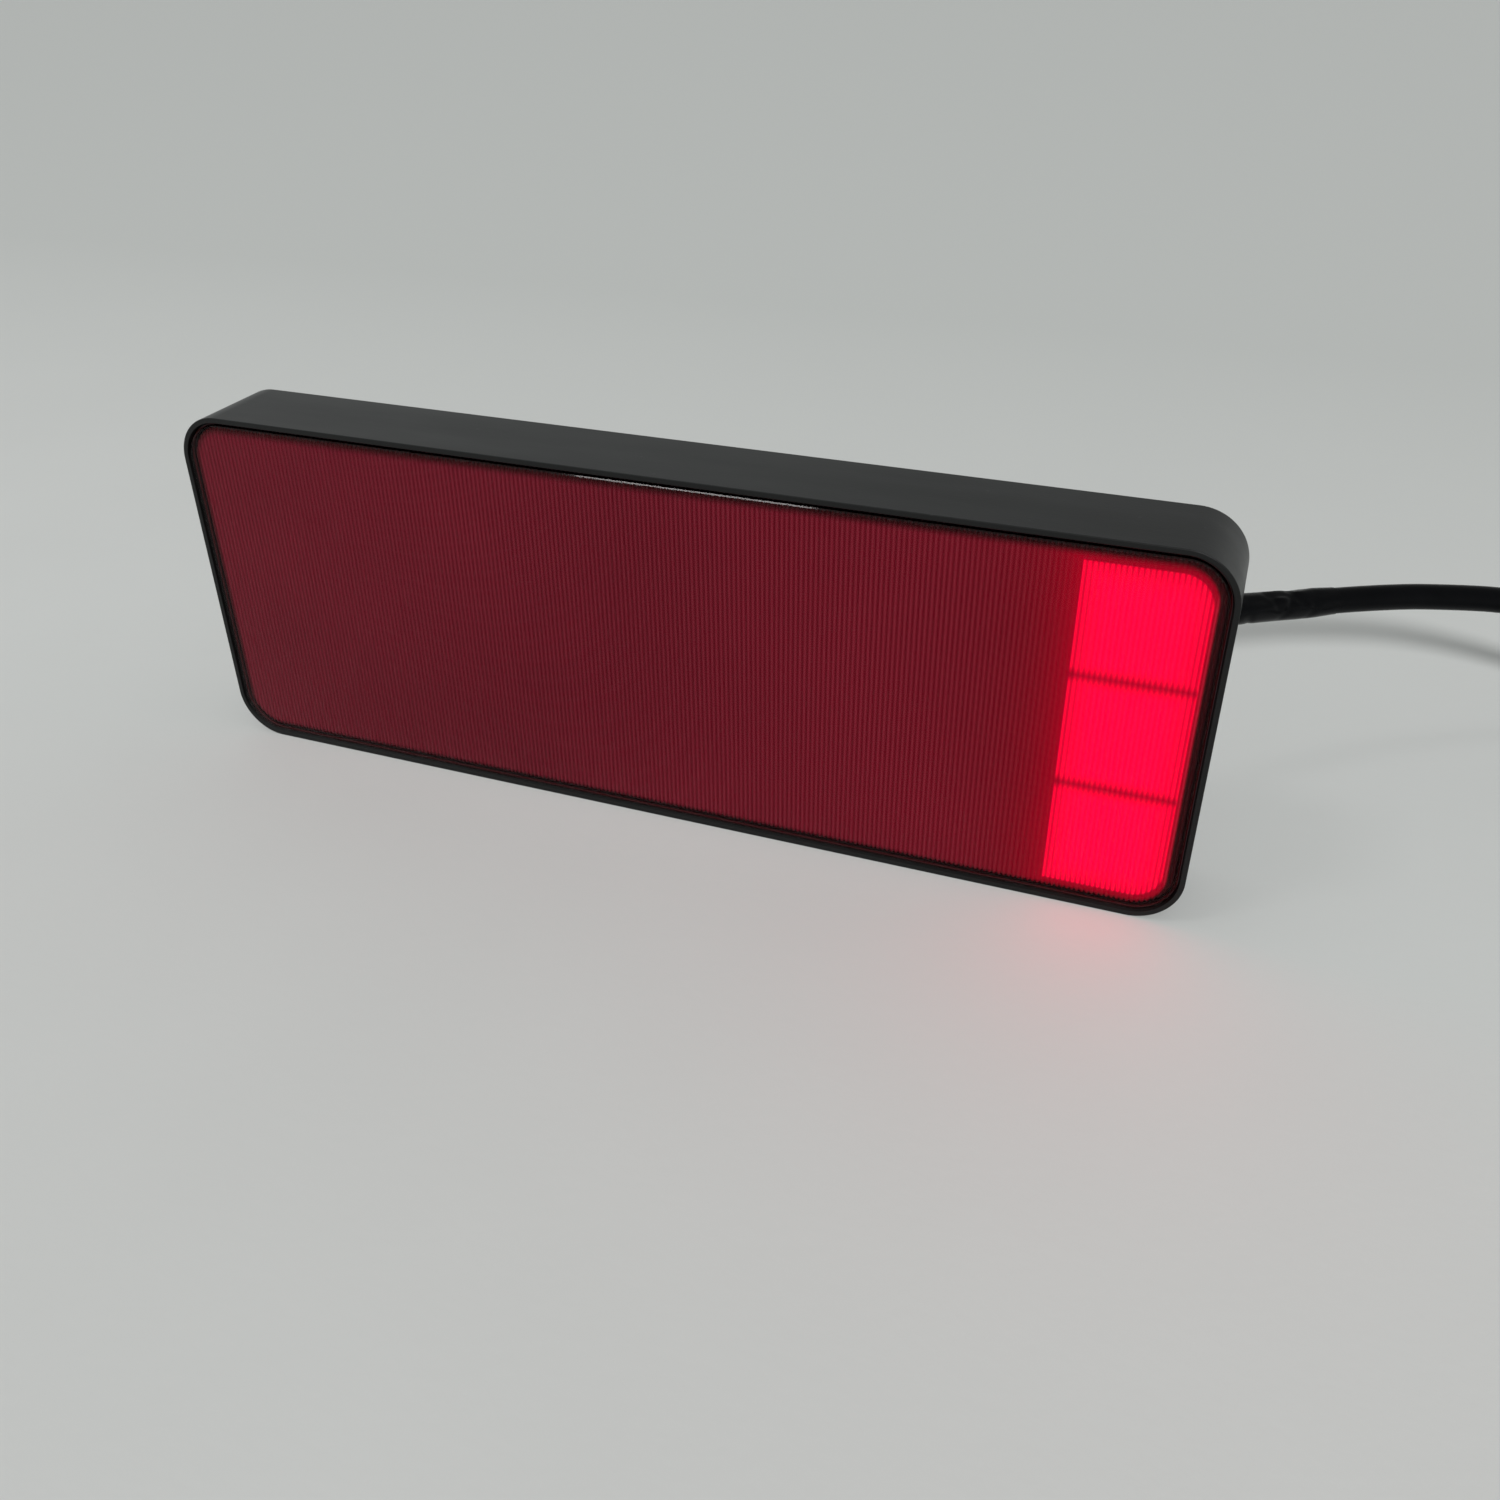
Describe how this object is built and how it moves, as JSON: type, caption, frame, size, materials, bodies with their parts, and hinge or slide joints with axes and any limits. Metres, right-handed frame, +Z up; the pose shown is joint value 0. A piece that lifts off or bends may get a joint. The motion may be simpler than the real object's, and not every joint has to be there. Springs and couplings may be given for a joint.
{
  "type": "trailer tail light",
  "caption": "Slim rectangular surface-mount LED tail light for a trailer: black housing, fluted red lens with a lit end column, rear studs and a coiled bare-ended lead.",
  "frame": {"origin": "under the middle of the lamp and its studs, on the surface that the lamp stands on, counted without the cable", "axes": "+X along the lamp towards the cable's end, -Y is the way the lens faces, +Y the way the mounting studs point, +Z up"},
  "size_m": [0.5121, 0.156, 0.1],
  "materials": {
    "housing_plastic": "fine satin moulded black plastic",
    "lens_acrylic": "polished clear red acrylic",
    "diffuser_acrylic": "dark red acrylic with fine vertical flutes",
    "seal_rubber": "matt black rubber",
    "white_plastic": "matt white moulded plastic",
    "board_laminate": "white solder mask",
    "led_package": "white body with clear resin over the die",
    "component_plastic": "black moulded plastic",
    "capacitor_can": "plain aluminium can",
    "zinc_steel": "zinc plated steel",
    "cable_jacket": "satin black PVC",
    "sleeve_film": "satin black shrink film with soft creases",
    "tie_nylon": "black nylon",
    "core_white": "white PVC insulation",
    "core_brown": "brown PVC insulation",
    "core_red": "red PVC insulation"
  },
  "bodies": {
    "root": {"housing": "housing_plastic", "outer_lens": "lens_acrylic", "lens_seal": "seal_rubber", "fluted_diffuser": "diffuser_acrylic", "cell_baffle": "white_plastic", "led_board": "board_laminate", "cable_terminal": "component_plastic", "driver_chip": "component_plastic", "input_capacitor": "capacitor_can", "cable_grommet": "seal_rubber", "cable_sleeve": "sleeve_film", "cable": "cable_jacket", "cable_coil": "cable_jacket", "cable_tail": "cable_jacket", "board_screw_1": "zinc_steel", "board_screw_2": "zinc_steel", "board_screw_3": "zinc_steel", "board_screw_4": "zinc_steel", "mounting_stud_1": "zinc_steel", "mounting_stud_2": "zinc_steel", "stud_washer_1": "zinc_steel", "stud_washer_2": "zinc_steel", "stud_nut_1": "zinc_steel", "stud_nut_2": "zinc_steel", "led_row1_column1": "led_package", "led_row1_column2": "led_package", "led_row1_column3": "led_package", "led_row1_column4": "led_package", "led_row1_column5": "led_package", "led_row1_column6": "led_package", "led_row1_column7": "led_package", "led_row1_column8": "led_package", "led_row1_column9": "led_package", "led_row2_column1": "led_package", "led_row2_column2": "led_package", "led_row2_column3": "led_package", "led_row2_column4": "led_package", "led_row2_column5": "led_package", "led_row2_column6": "led_package", "led_row2_column7": "led_package", "led_row2_column8": "led_package", "led_row2_column9": "led_package", "led_row3_column1": "led_package", "led_row3_column2": "led_package", "led_row3_column3": "led_package", "led_row3_column4": "led_package", "led_row3_column5": "led_package", "led_row3_column6": "led_package", "led_row3_column7": "led_package", "led_row3_column8": "led_package", "led_row3_column9": "led_package", "lead_white": "core_white", "lead_brown": "core_brown", "lead_red": "core_red", "core_white": "core_white", "core_brown": "core_brown", "core_red": "core_red", "coil_tie_1": "tie_nylon", "coil_tie_2": "tie_nylon"}
  },
  "joints": []
}
